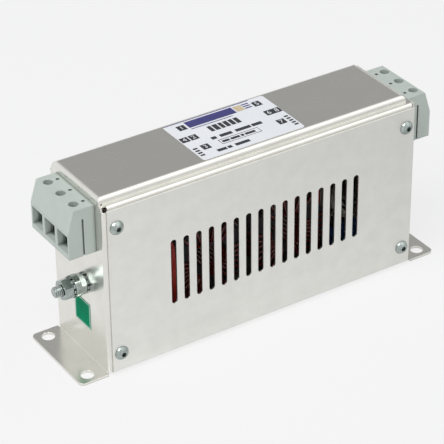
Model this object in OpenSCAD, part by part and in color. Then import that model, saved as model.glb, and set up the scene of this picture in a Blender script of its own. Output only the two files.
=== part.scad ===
// EMI line filter in a folded sheet-metal case, for fixing to a panel through two flanged feet.
// Millimetres. Origin at the centre of the four foot holes on the panel plane.
// +X runs along the case, -X is the end with the earth stud, -Y is the long side that faces the reader, +Z is up.

/* [Case] */
// Length of the cover along X
cover_len = 184.4; // [170:0.2:240]
// Depth of the cover over its two sides
cover_depth = 54.2; // [50:0.2:70]
// Height of the cover's sides
cover_h = 95; // [92:0.5:130]
// Cover sheet thickness
cover_t = 1; // [0.8:0.1:1.4]
// Chassis sheet thickness
chassis_t = 1.2; // [1:0.1:1.6]
// How far each end wall stands out past the cover
wall_out = 2; // [1.8:0.1:4]
// Outside radius of the cover's bottom bends
cover_bend_r = 2; // [1.6:0.1:3]
// Outside radius of the chassis's long bends
side_bend_r = 2; // [1.7:0.1:2.4]
// Outside radius of the bend from the top into each end wall
end_bend_r = 2.4; // [1.8:0.1:3.5]
// How far the raised top stands above the side strips
step_h = 3.4; // [3:0.1:5]
// Width of the flat part of each side strip
strip_w = 1.4; // [1:0.1:3]
// Outside radius of the step's upper bend
crown_r = 2.4; // [1.8:0.1:2.6]
// Raised top's end, measured back from the load end's wall
end_set = 4.4; // [3.4:0.1:6]
// Gap left where two folds of the chassis would meet
relief = 1; // [0.6:0.1:1.6]

/* [Feet] */
// Length of each foot outside the end wall
foot_len = 16.3; // [14:0.1:24]
// Distance of the foot's long edges inside the cover's sides
foot_side = 1.1; // [0:0.1:3]
// Radius of the foot's outer corners
foot_corner_r = 3; // [1:0.5:6]
// Inside radius of the bend between foot and wall
foot_bend_r = 0.4; // [0.3:0.1:1.4]
// Distance of each hole from the foot's side edge
hole_side = 6; // [5:0.5:12]
// Distance of each hole from the foot's outer edge
hole_edge = 7; // [5:0.5:8]
// Diameter of the foot holes
hole_d = 7; // [5:0.1:7.5]

/* [Vents] */
// Number of slots in each long side
slot_count = 16; // [8:1:18]
// Distance between slot centres
slot_pitch = 7.41; // [5.5:0.01:8]
// Width of a slot
slot_w = 3.3; // [2:0.1:3.6]
// Height of a slot over its round ends
slot_h = 37.6; // [20:0.2:50]
// Height of the slot centres above the cover's underside
slot_z = 47.7; // [44:0.1:52]

/* [Cover screws] */
// Thread diameter
screw_d = 4; // [3:0.5:4]
// Head diameter
head_d = 7.6; // [6:0.1:8]
// Head height
head_h = 2.2; // [1.6:0.1:2.6]
// Hexagon socket across flats
socket_af = 2.5; // [2:0.1:3]
// Screw length under the head
screw_len = 6; // [5:0.5:8]
// Distance of the screws from the cover's ends
screw_edge = 5; // [5:0.1:6]
// Height of the lower screws above the cover's underside
screw_low = 11.1; // [9:0.1:16]
// Distance of the upper screws below the cover's top edge
screw_high = 10.4; // [8:0.1:14]
// Diameter of a clinch nut's body
clinch_d = 8; // [7.2:0.1:8.4]
// Depth of a clinch nut's body
clinch_h = 2.4; // [2:0.1:3]

/* [Terminal blocks] */
// Width of a block across its poles
block_w = 37; // [36:0.2:37.4]
// How far a block stands out from the wall
block_out = 15; // [14.6:0.1:18]
// Height of a block
block_h = 26.6; // [26:0.1:29]
// Distance of a block's top below the raised top of the case
block_drop = 4.8; // [4:0.1:6.5]
// How far the flat top of a block runs out from the wall
block_flat = 11.3; // [11:0.1:12.4]
// Height of the sloped face
block_slope = 11.7; // [9:0.1:12]
// Distance between pole centres
pole_pitch = 12.4; // [11.8:0.1:12.8]
// Side of a wire entry
entry_w = 10; // [9:0.1:10.4]
// Height of a wire entry's sill above the block's underside
entry_sill = 2.9; // [2:0.1:3.6]
// Diameter of the screwdriver holes
driver_d = 5; // [4.6:0.1:5.6]
// Distance of the clamp screws from the wall
clamp_x = 8; // [7.6:0.1:8.4]
// Clamp screw diameter
clamp_d = 4; // [3:0.5:4]
// Side of a clamp cage along the wire
cage_len = 7.2; // [6:0.1:7.6]
// Wall thickness of a clamp cage
cage_t = 1.2; // [0.8:0.1:1.4]
// Thickness of a contact bar
bar_t = 1.4; // [1:0.1:1.8]
// Width of a contact bar
bar_w = 6; // [4:0.5:6.4]
// How far the back of a block reaches through the wall
spigot_len = 6; // [3:0.5:9]

/* [Earth stud] */
// Stud thread diameter
stud_d = 6; // [5:0.5:6]
// How far the stud stands out from the wall
stud_out = 17.5; // [16:0.1:22]
// Stud axis across the case
stud_y = -4.4; // [-8:0.1:8]
// Stud axis above the panel plane
stud_z = 44.5; // [42:0.5:50]
// Nut size across flats
nut_af = 10; // [9:0.5:11]
// Full nut thickness
nut_t = 5; // [4:0.1:5.6]
// Jam nut thickness
jam_t = 3.2; // [2.5:0.1:3.6]
// Plain washer diameter
washer_d = 12; // [11:0.1:13]
// Plain washer thickness
washer_t = 1.6; // [1:0.1:1.6]
// Tooth washer diameter
tooth_d = 11; // [10:0.1:12]
// Tooth washer thickness
tooth_t = 1; // [0.6:0.1:1]

/* [Labels] */
// Rating label length
label_len = 60.6; // [40:0.2:90]
// Gap between the rating label's long edges and the edge of the flat top
label_side = 0.3; // [0.2:0.1:6]
// Rating label centre along the case
label_x = -2; // [-20:0.5:20]
// Label film thickness
label_t = 0.15; // [0.1:0.05:0.3]
// Side of the square earth marker
marker_w = 15.2; // [10:0.2:18]
// Height of the marker's centre above the panel plane
marker_z = 25.8; // [20:0.2:28]

/* [Circuit board] */
// Gap between the board's ends and the cover's ends
board_end = 10.2; // [9.8:0.1:16]
// Gap between the board's sides and the side flanges
board_side = 2; // [1:0.1:4]
// Board thickness
board_t = 1.6; // [1:0.1:2.4]
// Standoff height
standoff_h = 6; // [4:0.5:10]
// Distance of the board's holes from its edges
board_hole = 4; // [3.2:0.1:4.6]

/* [Chokes] */
// Core outside diameter
core_d = 44; // [36:0.5:46]
// Core bore
core_bore = 24; // [23:0.5:28]
// Core width along Y
core_w = 20; // [14:0.5:22]
// Gap between the two wound cores
core_gap = 2.6; // [1:0.1:4]
// Winding wire diameter
wire_d = 1.6; // [1:0.1:1.7]
// Turns in one winding
turns = 9; // [5:1:9]
// Height of the holder's arms above the board at the core's lowest point
holder_h = 4; // [3:0.5:7]

/* [Leads] */
// Outside diameter of a phase lead
lead_d = 2.8; // [2:0.1:3]

/* [Hidden] */
$fn = 48;
thread_gap = 0.05;
press_gap = 0.02;
slide_gap = 0.2;
hole_gap = 0.3;
eps = 0.5;

// Case planes
cover_x = cover_len / 2;
cover_y = cover_depth / 2;
cover_z0 = chassis_t;
cover_z1 = cover_z0 + cover_h;
wall_x = cover_x + wall_out;
side_y = cover_y - cover_t;
strip_z = cover_z1 + side_bend_r;
top_z = strip_z + step_h;
valley_r = 0.3;
strip_y = side_y - side_bend_r;
step_y = strip_y - strip_w;
riser_x = wall_x - end_set;
step_x = riser_x + valley_r;
top_y = step_y - valley_r - crown_r;
riser_y = top_y + crown_r;
notch = 0.8 * relief;
long_x = wall_x - side_bend_r - notch;
bend_z0 = chassis_t + foot_bend_r + relief / 2;
foot_x = wall_x + foot_len;
foot_bend_x = wall_x + foot_bend_r;
hole_x = foot_x - hole_edge;
foot_w = cover_depth - 2 * foot_side;
hole_dy = foot_w - 2 * hole_side;
label_w = 2 * (top_y - label_side);
tuck_h = 10;
tuck_x = cover_x - screw_edge - clinch_d / 2 - 5;
deep_x = tuck_x - 4 * relief;
flange_z0 = cover_z0 + cover_bend_r + relief;
flange_z1 = cover_z1 - 2 * relief;

// Cover screws
screw_x = cover_x - screw_edge;
screw_zs = [cover_z0 + screw_low, cover_z1 - screw_high];
clinch_spigot_d = screw_d + 1.4;
socket_h = 0.8 * head_h;

// Terminal blocks, measured outward from the wall with u and upward with z
block_top = top_z - block_drop;
block_z0 = block_top - block_h;
slope_z = block_top - block_slope;
entry_z0 = block_z0 + entry_sill;
cavity_z1 = entry_z0 + entry_w + 3.8;
cavity_u0 = clamp_x - cage_len / 2 - slide_gap;
cavity_u1 = clamp_x + cage_len / 2 + slide_gap;
cage_w = entry_w - 0.8;
cage_z0 = entry_z0 + slide_gap;
cage_z1 = cavity_z1 - slide_gap;
cage_roof = 2.4;
clamp_slot = [0.8, 1.3];
fix_head_h = 2;
wall_gap = 5;
bar_z0 = cage_z1 - cage_roof - slide_gap - bar_t;
bar_in = spigot_len + 8;
clamp_top = bar_z0 + bar_t + 1.7 * clamp_d;
spigot_w = 2 * pole_pitch + bar_w + 3;
spigot_z = [bar_z0 - wall_gap, bar_z0 + bar_t + wall_gap];
fix_d = 3;
fix_len = 3.6;
fix_y = pole_pitch / 2;
fix_head_d = fix_d + 2.6;
fix_z = spigot_z[0] - fix_head_d / 2 - slide_gap;
pole_ys = [-pole_pitch, 0, pole_pitch];

// Inside
deck_z = cover_z0 + cover_t;
board_z0 = deck_z + standoff_h;
board_z1 = board_z0 + board_t;
board_len = cover_len - 2 * board_end;
board_w = 2 * (side_y - chassis_t - board_side);
standoff_dx = board_len - 2 * board_hole;
standoff_dy = board_w - 2 * board_hole;
core_r = core_d / 2;
core_z = board_z1 + holder_h + core_r;
turn_r0 = core_bore / 2 - 0.2;
turn_r1 = core_r + 0.1;
turn_step = 2 * atan((wire_d / 2 + 0.1) / (turn_r0 - wire_d));
core_x = turn_r1 + wire_d + core_gap / 2;
xcap = [7, 22, 16];
ycap = [5, 13, 11];
cap_step = 8;
cap_x = core_x + turn_r1 + wire_d + 2 * lead_d + 3.2;
lug_t = 1;
lug_d = 12;
lug_neck = [4, 3];
barrel_d = 4;
barrel_len = 7;
barrel_x = chassis_t + barrel_d / 2;
barrel_z = -lug_d / 2 - lug_neck[1] + lug_t - barrel_len;

// ---- Helpers -------------------------------------------------------------

// Mirrored copies on both sides of the X = 0 plane, the Y = 0 plane, or both
module both_x() { children(); mirror([1, 0, 0]) children(); }
module both_y() { children(); mirror([0, 1, 0]) children(); }
module both_xy() { both_x() both_y() children(); }

// Quarter of a sheet's bend in the first quadrant: outside radius r, sheet t
module bend(r, t) {
    intersection() {
        difference() { circle(r); circle(max(r - t, 0.01)); }
        square(r);
    }
}

// Span of sheet along Y from y0 to y1 for a section drawn as [x, z]
module along_y(y0, y1) {
    translate([0, y1, 0]) rotate([90, 0, 0]) linear_extrude(y1 - y0) children();
}

// Span along X from x0 to x1 for a section drawn as [y, z]
module along_x(x0, x1) {
    translate([x0, 0, 0]) rotate([90, 0, 90]) linear_extrude(x1 - x0) children();
}

// Cylinder along X that starts at x0 and runs len outward (len may be negative)
module rod_x(d, x0, len, f = 48) {
    translate([min(x0, x0 + len), 0, 0]) rotate([0, 90, 0]) cylinder(d = d, h = abs(len), $fn = f);
}

// Slot with round ends in the XY plane, long way up Y
module obround(w, h) {
    for (s = [-1, 1]) translate([0, s * (h - w) / 2]) circle(d = w);
    square([w, h - w], center = true);
}

// Places a pole's shape on an end wall: x points outward from the wall, for side -1 or +1
module on_wall(side) {
    if (side > 0) translate([wall_x, 0, 0]) children();
    else mirror([1, 0, 0]) translate([wall_x, 0, 0]) children();
}

// ---- Case ----------------------------------------------------------------

// Half of the raised top's outline, in [u, z]: edge at u, top at z, rounded by r
module edge_profile(u, z, r) {
    square([u - r, z]);
    square([u, z - r]);
    translate([u - r, z - r]) circle(r);
}

// Body of the raised top, drawn g inside its outer faces, above the height z0
module raised_body(g, z0) {
    intersection() {
        along_y(-side_y, side_y) {
            mirror([1, 0]) edge_profile(wall_x - g, top_z - g, end_bend_r - g);
            edge_profile(riser_x - g, top_z - g, crown_r - g);
        }
        both_y() along_x(-wall_x, wall_x) edge_profile(riser_y - g, top_z - g, crown_r - g);
        translate([-wall_x, -side_y, z0]) cube([2 * wall_x, 2 * side_y, top_z]);
    }
}

// Foot of the step, where it turns out into the strip u from the centre, in [u, z]
module valley_section(u) {
    translate([u, strip_z + valley_r]) rotate(180) bend(valley_r + chassis_t, chassis_t);
}

// Strips along both long sides and across the load end, below the raised top
module strips() {
    translate([-wall_x + side_bend_r, 0, strip_z - chassis_t]) {
        both_y() translate([0, step_y, 0]) cube([2 * (wall_x - side_bend_r), strip_w, chassis_t]);
        both_y() translate([riser_x + wall_x - side_bend_r, riser_y, 0])
            cube([end_set - side_bend_r, strip_y - riser_y, chassis_t]);
        translate([step_x + wall_x - side_bend_r, -strip_y, 0])
            cube([wall_x - side_bend_r - step_x, 2 * strip_y, chassis_t]);
    }
    both_y() along_x(-wall_x + side_bend_r, riser_x) valley_section(step_y);
    along_y(-riser_y, riser_y) valley_section(step_x);
}

// Long bend from the strip down to the tucked edge, in [y, z]
module tuck_section(tuck_z) {
    translate([strip_y, cover_z1]) bend(side_bend_r, chassis_t);
    translate([side_y - chassis_t, tuck_z]) square([chassis_t, cover_z1 - tuck_z]);
}

// Wall below the strips and the bend into the foot, in [x, z] with x outward
module end_section() {
    translate([wall_x - chassis_t, chassis_t + foot_bend_r])
        square([chassis_t, cover_z1 - chassis_t - foot_bend_r]);
    translate([foot_bend_x, chassis_t + foot_bend_r]) rotate(180) bend(foot_bend_r + chassis_t, chassis_t);
}

// Strip's end, folded down into the wall, in [x, z]
module strip_end_section() {
    translate([wall_x - side_bend_r, cover_z1]) bend(side_bend_r, chassis_t);
}

// Vertical bend at each side of the wall, in plan
module wall_plan() {
    both_y() translate([wall_x - side_bend_r, side_y - side_bend_r]) bend(side_bend_r, chassis_t);
}

// Side flange that the cover is screwed to, in plan
module flange_plan() {
    both_y() translate([tuck_x, side_y - chassis_t]) square([wall_x - side_bend_r - tuck_x, chassis_t]);
}

// Flat foot with two rounded outer corners and its fixing holes
module foot_plate() {
    linear_extrude(chassis_t) difference() {
        union() {
            translate([foot_bend_x, -foot_w / 2]) square([foot_len - foot_bend_r - foot_corner_r, foot_w]);
            translate([foot_bend_x, -foot_w / 2 + foot_corner_r])
                square([foot_len - foot_bend_r, foot_w - 2 * foot_corner_r]);
            both_y() translate([foot_x - foot_corner_r, foot_w / 2 - foot_corner_r]) circle(foot_corner_r);
        }
        both_y() translate([hole_x, hole_dy / 2]) circle(d = hole_d);
    }
}

// Cut-outs that both end walls need for a terminal block
module block_cutouts() {
    translate([wall_x - chassis_t - eps, -spigot_w / 2 - hole_gap, spigot_z[0] - hole_gap])
        cube([chassis_t + 2 * eps, spigot_w + 2 * hole_gap, spigot_z[1] - spigot_z[0] + 2 * hole_gap]);
    both_y() translate([0, fix_y, fix_z]) rod_x(fix_d + hole_gap, wall_x - chassis_t - eps, chassis_t + 2 * eps);
}

module chassis() color("gainsboro") {
    difference() {
        union() {
            both_x() {
                along_y(-strip_y, strip_y) end_section();
                both_y() along_y(riser_y, strip_y) strip_end_section();
                translate([0, 0, bend_z0]) linear_extrude(cover_z1 - notch - bend_z0) wall_plan();
                translate([0, 0, flange_z0]) linear_extrude(flange_z1 - flange_z0) flange_plan();
                foot_plate();
            }
            along_y(-strip_y, strip_y) strip_end_section();
            translate([-wall_x, -riser_y, cover_z1])
                cube([chassis_t, 2 * riser_y, strip_z + valley_r - cover_z1]);
            strips();
            both_y() {
                along_x(-long_x, long_x) tuck_section(cover_z1 - relief);
                along_x(-deep_x, deep_x) tuck_section(cover_z1 - tuck_h);
            }
            difference() {
                raised_body(0, strip_z + valley_r);
                raised_body(chassis_t, strip_z);
            }
        }
        both_x() block_cutouts();
        mirror([1, 0, 0]) translate([0, stud_y, stud_z])
            rod_x(stud_d + hole_gap, wall_x - chassis_t - eps, chassis_t + 2 * eps);
        for (z = screw_zs) both_xy() translate([screw_x, side_y - chassis_t - eps, z])
            rotate([-90, 0, 0]) cylinder(d = clinch_spigot_d + 2 * press_gap, h = chassis_t + 2 * eps);
    }
}

module cover() color("silver") {
    difference() {
        union() {
            both_y() along_x(-cover_x, cover_x) {
                translate([side_y, cover_z0 + cover_bend_r]) square([cover_t, cover_h - cover_bend_r]);
                translate([cover_y - cover_bend_r, cover_z0 + cover_bend_r])
                    mirror([0, 1]) bend(cover_bend_r, cover_t);
            }
            translate([-cover_x, -cover_y + cover_bend_r, cover_z0])
                cube([cover_len, cover_depth - 2 * cover_bend_r, cover_t]);
        }
        for (i = [0 : slot_count - 1])
            translate([(i - (slot_count - 1) / 2) * slot_pitch, cover_y + eps, cover_z0 + slot_z])
                rotate([90, 0, 0]) linear_extrude(cover_depth + 2 * eps) obround(slot_w, slot_h);
        for (z = screw_zs) both_x() translate([screw_x, cover_y + eps, z])
            rotate([90, 0, 0]) cylinder(d = screw_d + hole_gap, h = cover_depth + 2 * eps);
        both_xy() translate([standoff_dx / 2, standoff_dy / 2, cover_z0 - eps])
            cylinder(d = 4.2 + 2 * press_gap, h = cover_t + 2 * eps);
    }
}

// ---- Cover screws and nuts -------------------------------------------------

// Button head screw along +Z, its head's underside at z = 0
module button_screw() {
    rim = 0.3;
    flat_r = socket_af * 0.76;
    c = (pow(head_d / 2, 2) + rim * rim - flat_r * flat_r - head_h * head_h) / (2 * (rim - head_h));
    dome_r = sqrt(pow(head_d / 2, 2) + pow(rim - c, 2));
    difference() {
        union() {
            rotate_extrude() intersection() {
                translate([0, c]) circle(dome_r, $fn = 96);
                square([head_d / 2, head_h]);
            }
            translate([0, 0, -screw_len]) cylinder(d = screw_d, h = screw_len + 0.1);
        }
        translate([0, 0, head_h - socket_h]) cylinder(d = socket_af / cos(30), h = 2, $fn = 6);
    }
}

module cover_screws() {
    for (z = screw_zs) both_x() translate([screw_x, -cover_y, z]) rotate([90, 0, 0]) button_screw();
}
module front_cover_screws() color("darkgray") cover_screws();
module back_cover_screws() color("darkgray") mirror([0, 1, 0]) cover_screws();

// Nut pressed into the flange from inside, bored for the screw
module clinch_nuts() {
    for (z = screw_zs) both_x() translate([screw_x, -side_y + chassis_t, z]) rotate([-90, 0, 0])
        difference() {
            union() {
                cylinder(d = clinch_d, h = clinch_h);
                translate([0, 0, -chassis_t]) cylinder(d = clinch_spigot_d, h = chassis_t + 0.1);
            }
            translate([0, 0, -chassis_t - eps]) cylinder(d = screw_d + 2 * thread_gap, h = 10);
        }
}
module front_clinch_nuts() color("goldenrod") clinch_nuts();
module back_clinch_nuts() color("goldenrod") mirror([0, 1, 0]) clinch_nuts();

// ---- Terminal blocks -------------------------------------------------------

module housing() {
    difference() {
        union() {
            along_y(-block_w / 2, block_w / 2)
                polygon([[0, block_z0], [block_out, block_z0], [block_out, slope_z], [block_flat, block_top],
                         [0, block_top]]);
            translate([-chassis_t - spigot_len, -spigot_w / 2, spigot_z[0]])
                cube([chassis_t + spigot_len + 0.1, spigot_w, spigot_z[1] - spigot_z[0]]);
        }
        for (y = pole_ys) translate([0, y, 0]) {
            translate([cavity_u0, -entry_w / 2, entry_z0]) cube([block_out, entry_w, entry_w]);
            translate([cavity_u0, -entry_w / 2, entry_z0])
                cube([cavity_u1 - cavity_u0, entry_w, cavity_z1 - entry_z0]);
            translate([clamp_x, 0, cavity_z1 - eps]) cylinder(d = clamp_d + slide_gap, h = block_h);
            translate([clamp_x, 0, clamp_top]) cylinder(d = driver_d, h = block_h);
            translate([-chassis_t - spigot_len - eps, -bar_w / 2 - thread_gap, bar_z0 - thread_gap])
                cube([20, bar_w + 2 * thread_gap, bar_t + 2 * thread_gap]);
            translate([2.7, 0, block_top - 0.8]) cylinder(d = 1.8, h = 2);
        }
        both_y() translate([6.3, block_w / 2 - 0.8, block_z0 - eps]) cube([1, 2, block_h - 5.4]);
        both_y() translate([0, fix_y, fix_z]) rod_x(fix_d + 2 * thread_gap, -eps, fix_len + slide_gap + eps);
    }
}
module line_terminal_housing() color("lightsteelblue") on_wall(-1) housing();
module load_terminal_housing() color("lightsteelblue") on_wall(1) housing();

module clamp_cages() {
    for (y = pole_ys) translate([clamp_x, y, 0]) difference() {
        translate([-cage_len / 2, -cage_w / 2, cage_z0]) cube([cage_len, cage_w, cage_z1 - cage_z0]);
        translate([-cage_len / 2 - eps, -cage_w / 2 + cage_t, cage_z0 + cage_t])
            cube([cage_len + 2 * eps, cage_w - 2 * cage_t, cage_z1 - cage_z0 - cage_t - cage_roof]);
        translate([0, 0, cage_z1 - cage_roof - eps]) cylinder(d = clamp_d + 2 * thread_gap, h = 10);
    }
}
module line_clamp_cages() color("khaki") on_wall(-1) clamp_cages();
module load_clamp_cages() color("khaki") on_wall(1) clamp_cages();

// Headless slotted screw whose tip bears on the contact bar
module clamp_screws() {
    for (y = pole_ys) translate([clamp_x, y, 0]) difference() {
        translate([0, 0, bar_z0 + bar_t]) cylinder(d = clamp_d, h = clamp_top - bar_z0 - bar_t);
        translate([-driver_d, -clamp_slot[0] / 2, clamp_top - clamp_slot[1]])
            cube([2 * driver_d, clamp_slot[0], clamp_slot[1] + eps]);
    }
}
module line_clamp_screws() color("darkgray") on_wall(-1) clamp_screws();
module load_clamp_screws() color("darkgray") on_wall(1) clamp_screws();

module contact_bars() {
    for (y = pole_ys) translate([-chassis_t - bar_in, y - bar_w / 2, bar_z0])
        cube([chassis_t + bar_in + clamp_x + cage_len / 2, bar_w, bar_t]);
}
module line_contact_bars() color("peru") on_wall(-1) contact_bars();
module load_contact_bars() color("peru") on_wall(1) contact_bars();

// Screws from inside the case into the backs of both blocks
module housing_screws() color("dimgray") {
    for (side = [-1, 1]) on_wall(side) both_y() translate([0, fix_y, fix_z]) {
        rod_x(fix_d, -chassis_t - 0.1, chassis_t + 0.1 + fix_len);
        rod_x(fix_head_d, -chassis_t, -fix_head_h);
    }
}

// ---- Earth stud ------------------------------------------------------------

tooth1_u = 0;
jam_u = tooth1_u + tooth_t;
plain_u = jam_u + jam_t;
tooth2_u = plain_u + 2 * washer_t + press_gap;
full_u = tooth2_u + tooth_t;

module at_stud() { on_wall(-1) translate([0, stud_y, stud_z]) children(); }

module earth_stud() color("gainsboro") at_stud() {
    rod_x(stud_d, -chassis_t - lug_t - 0.1, chassis_t + lug_t + 0.1 + stud_out - 1);
    translate([stud_out - 1.05, 0, 0]) rotate([0, 90, 0])
        rotate_extrude() polygon([[0, 0], [stud_d / 2, 0], [stud_d / 2 - 0.8, 1.05], [0, 1.05]]);
    rod_x(nut_af / cos(30), -chassis_t - lug_t, -4, 6);
}

// Lock washer with teeth round its rim
module tooth_washer() {
    rotate([0, 90, 0]) linear_extrude(tooth_t) difference() {
        union() {
            circle(d = tooth_d - 1.6);
            for (a = [0 : 30 : 330]) rotate(a) translate([tooth_d / 2 - 1.4, -0.9]) square([1.4, 1.8]);
        }
        circle(d = stud_d + 2 * slide_gap);
    }
}
module earth_tooth_washers() color("silver") at_stud() {
    for (u = [tooth1_u, tooth2_u]) translate([u, 0, 0]) tooth_washer();
}
module earth_plain_washers() color("silver") at_stud() {
    for (i = [0, 1]) translate([plain_u + i * (washer_t + press_gap), 0, 0]) difference() {
        rod_x(washer_d, 0, washer_t);
        rod_x(stud_d + 2 * slide_gap, -eps, washer_t + 2 * eps);
    }
}

// Hexagon nut with both faces chamfered, bored for the stud
module hex_nut(t) {
    corner = nut_af / cos(30);
    rotate([0, 90, 0]) difference() {
        intersection() {
            cylinder(d = corner, h = t, $fn = 6);
            rotate_extrude() polygon([[0, 0], [nut_af / 2, 0], [corner / 2 + 0.1, 0.45],
                [corner / 2 + 0.1, t - 0.45], [nut_af / 2, t], [0, t]]);
        }
        translate([0, 0, -eps]) cylinder(d = stud_d + 2 * thread_gap, h = t + 2 * eps);
    }
}
module earth_jam_nut() color("lightgray") at_stud() translate([jam_u, 0, 0]) rotate([12, 0, 0]) hex_nut(jam_t);
module earth_full_nut() color("lightgray") at_stud() translate([full_u, 0, 0]) hex_nut(nut_t);

// Ring lug held between the stud's head and the wall, its barrel pointing down
module earth_lug() color("gold") at_stud() {
    difference() {
        union() {
            rod_x(lug_d, -chassis_t, -lug_t);
            translate([-chassis_t - lug_t, -lug_neck[0] / 2, -lug_d / 2 - lug_neck[1]])
                cube([lug_t, lug_neck[0], lug_d / 2 + lug_neck[1]]);
            translate([-barrel_x, 0, barrel_z]) cylinder(d = barrel_d, h = barrel_len);
        }
        rod_x(stud_d + 2 * slide_gap, -chassis_t + eps, -lug_t - 2 * eps);
        translate([-barrel_x, 0, barrel_z - eps])
            cylinder(d = lead_d + 2 * thread_gap, h = barrel_len - lug_t + eps);
    }
}

// ---- Labels ----------------------------------------------------------------

module rating_label() color("white")
    translate([label_x - label_len / 2, -label_w / 2, top_z]) cube([label_len, label_w, label_t]);

module earth_marker() color("seagreen") on_wall(-1)
    translate([0, stud_y + 2.9 - marker_w / 2, marker_z - marker_w / 2]) cube([label_t, marker_w, marker_w]);

// ---- Inside ----------------------------------------------------------------

module at_standoffs(z) { both_xy() translate([standoff_dx / 2, standoff_dy / 2, z]) children(); }

module board_standoffs() color("lightgray") at_standoffs(0) difference() {
    union() {
        translate([0, 0, deck_z]) cylinder(d = 6 / cos(30), h = standoff_h, $fn = 6);
        translate([0, 0, cover_z0]) cylinder(d = 4.2, h = cover_t + 0.1);
    }
    translate([0, 0, cover_z0 - eps]) cylinder(d = 3 + 2 * thread_gap, h = standoff_h + 3);
}
module board_screws() color("dimgray") at_standoffs(board_z1) {
    translate([0, 0, -board_t - standoff_h + 1]) cylinder(d = 3, h = board_t + standoff_h - 0.9);
    cylinder(d = 5.6, h = 2);
}

module circuit_board() color("darkgreen") difference() {
    translate([-board_len / 2, -board_w / 2, board_z0]) cube([board_len, board_w, board_t]);
    at_standoffs(board_z0 - eps) cylinder(d = 3 + hole_gap, h = board_t + 2 * eps);
}

module at_cores() { both_x() translate([core_x, 0, core_z]) rotate([90, 0, 0]) children(); }

module choke_cores() color("darkslategray") at_cores() difference() {
    cylinder(r = core_r, h = core_w, center = true, $fn = 96);
    cylinder(d = core_bore, h = core_w + 2, center = true, $fn = 96);
}

// One turn of wire, square in section, round the core at the +X side
module turn() {
    rotate([90, 0, 0]) translate([0, 0, -wire_d / 2]) linear_extrude(wire_d) difference() {
        translate([turn_r0 - wire_d, -core_w / 2 - wire_d])
            square([turn_r1 - turn_r0 + 2 * wire_d, core_w + 2 * wire_d]);
        translate([turn_r0, -core_w / 2]) square([turn_r1 - turn_r0, core_w]);
    }
}
module phase_windings() color("firebrick") at_cores()
    for (w = [90, 210, 330], i = [0 : turns - 1]) rotate(w + (i - (turns - 1) / 2) * turn_step) turn();

// Moulded cradle that the core's lowest part sits in
module choke_holders() color("ivory") both_x() translate([core_x, 0, board_z1]) difference() {
    translate([-5, -core_w / 2 - 1.4, 0]) cube([10, core_w + 2.8, holder_h + 3]);
    translate([0, 0, holder_h + core_r]) rotate([90, 0, 0])
        cylinder(r = core_r + 0.1, h = core_w + 0.2, center = true, $fn = 96);
}

module x_capacitors() color("goldenrod")
    for (i = [0 : 2]) translate([-cap_x - i * cap_step - xcap[0] / 2, -xcap[1] / 2, board_z1]) cube(xcap);
module y_capacitors() color("royalblue")
    for (i = [0 : 2]) translate([cap_x + i * cap_step - ycap[0] / 2, -xcap[1] / 2, board_z1]) cube(ycap);
module bleed_resistors() color("tan")
    for (i = [0 : 2]) translate([cap_x + i * cap_step - 3, xcap[1] / 2 - 5, board_z1]) {
        translate([0, 0, 2]) rod_x(3.4, 0, 6);
        for (s = [-0.6, 6]) translate([s, -0.3, 0]) cube([0.6, 0.6, 2.3]);
    }

// Round lead swept along a list of points
function unit(v) = v / norm(v);
function tangent(p, i) = unit(i == 0 ? p[1] - p[0] : i == len(p) - 1 ? p[i] - p[i - 1]
    : unit(p[i + 1] - p[i]) + unit(p[i] - p[i - 1]));
module lead(p, d) {
    n = 8;
    rings = [for (i = [0 : len(p) - 1]) let (t = tangent(p, i), a = unit(cross(t, [0.05, 1, 0.02])), b = cross(t, a))
        for (k = [0 : n - 1]) p[i] + d / 2 * (cos(360 * k / n) * a + sin(360 * k / n) * b)];
    polyhedron(rings, concat([[for (k = [n - 1 : -1 : 0]) k]],
        [for (i = [0 : len(p) - 2], k = [0 : n - 1]) let (m = (k + 1) % n)
            [i * n + k, i * n + m, (i + 1) * n + m, (i + 1) * n + k]],
        [[for (k = [0 : n - 1]) (len(p) - 1) * n + k]]), convexity = 4);
}

// Quarter-turn points from direction a to direction b round a centre
function arc(c, a, b, r, n) = [for (i = [0 : n]) c + r * (sin(90 * i / n) * a - cos(90 * i / n) * b)];

lead_x = core_x + turn_r1 + wire_d + 0.6 + lead_d / 2;
lead_top = bar_z0 - lead_d / 2;
lead_r = 6;
function phase_path(y, out_y) = concat(
    [[wall_x - chassis_t - bar_in + 3, y, lead_top], [wall_x - chassis_t - bar_in - 4, y, lead_top],
     [lead_x + 14, y, lead_top - 5]],
    [for (i = [1 : 4]) [lead_x + 9 - i * 2.2, y + (out_y - y) * i / 4, lead_top - 9 - i * i]],
    [[lead_x, out_y, lead_top - 32], [lead_x, out_y, board_z1 + 10], [lead_x, out_y, board_z1]]);
module phase_leads() {
    for (y = pole_ys) lead(phase_path(y, y * 1.45), lead_d);
}
module line_phase_leads() color("darkred") mirror([1, 0, 0]) phase_leads();
module load_phase_leads() color("darkred") phase_leads();

// Earth lead from the lug's barrel down to the board, clear of the capacitors' ends
lug_x = -wall_x + barrel_x;
lug_z = stud_z + barrel_z;
lead_bend = 2 * lead_d;
land_x = -board_len / 2 + lead_d + 1;
land_y = xcap[1] / 2 + lead_d / 2 + 2 * slide_gap;
module earth_lead() color("yellowgreen")
    lead([[lug_x, stud_y, lug_z + barrel_len - lug_t - slide_gap], [lug_x, stud_y, lug_z],
          [lug_x + lead_d / 3, stud_y + lead_d / 3, lug_z - lead_bend / 2],
          [(2 * lug_x + land_x) / 3, (2 * stud_y + land_y) / 3, lug_z - lead_bend],
          [(lug_x + 2 * land_x) / 3, (stud_y + 2 * land_y) / 3, board_z1 + lead_bend * 1.4],
          [land_x, land_y, board_z1 + lead_bend], [land_x, land_y, board_z1]], lead_d);

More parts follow.
